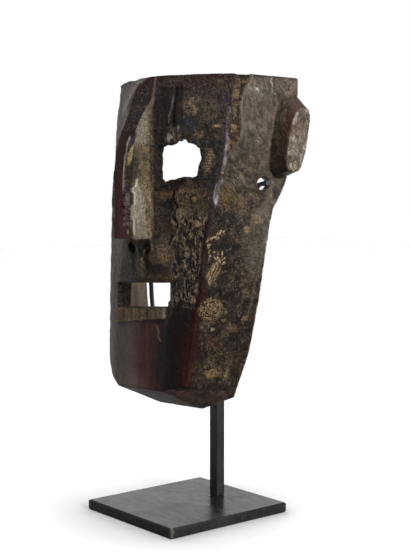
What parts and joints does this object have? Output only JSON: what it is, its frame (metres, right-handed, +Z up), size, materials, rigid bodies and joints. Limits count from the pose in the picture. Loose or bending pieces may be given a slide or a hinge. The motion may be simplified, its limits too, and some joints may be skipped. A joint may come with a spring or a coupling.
{
  "type": "carved wooden dance mask on a display stand",
  "caption": "Tall carved wooden face mask with long nose, pierced eyes and mouth, incised teeth and flat ears, held upright by a bent rod on a square post and steel plate.",
  "frame": {"origin": "middle of the stand plate's underside", "axes": "+Z up; the mask looks towards -Y and its open back faces +Y; +X is the side of the mask that the picture shows, the mask's own left"},
  "size_m": [0.2406, 0.1459, 0.4153],
  "materials": {
    "carved_wood": "old dark patina, semi-gloss where worn, dry crust and ochre earth in the hollows",
    "plate_steel": "blackened and waxed, satin on top, darker at the edges",
    "bar_steel": "blackened, satin"
  },
  "bodies": {
    "root": {"base_plate": "plate_steel", "post": "bar_steel", "support_rod": "bar_steel", "mask": "carved_wood"}
  },
  "joints": []
}
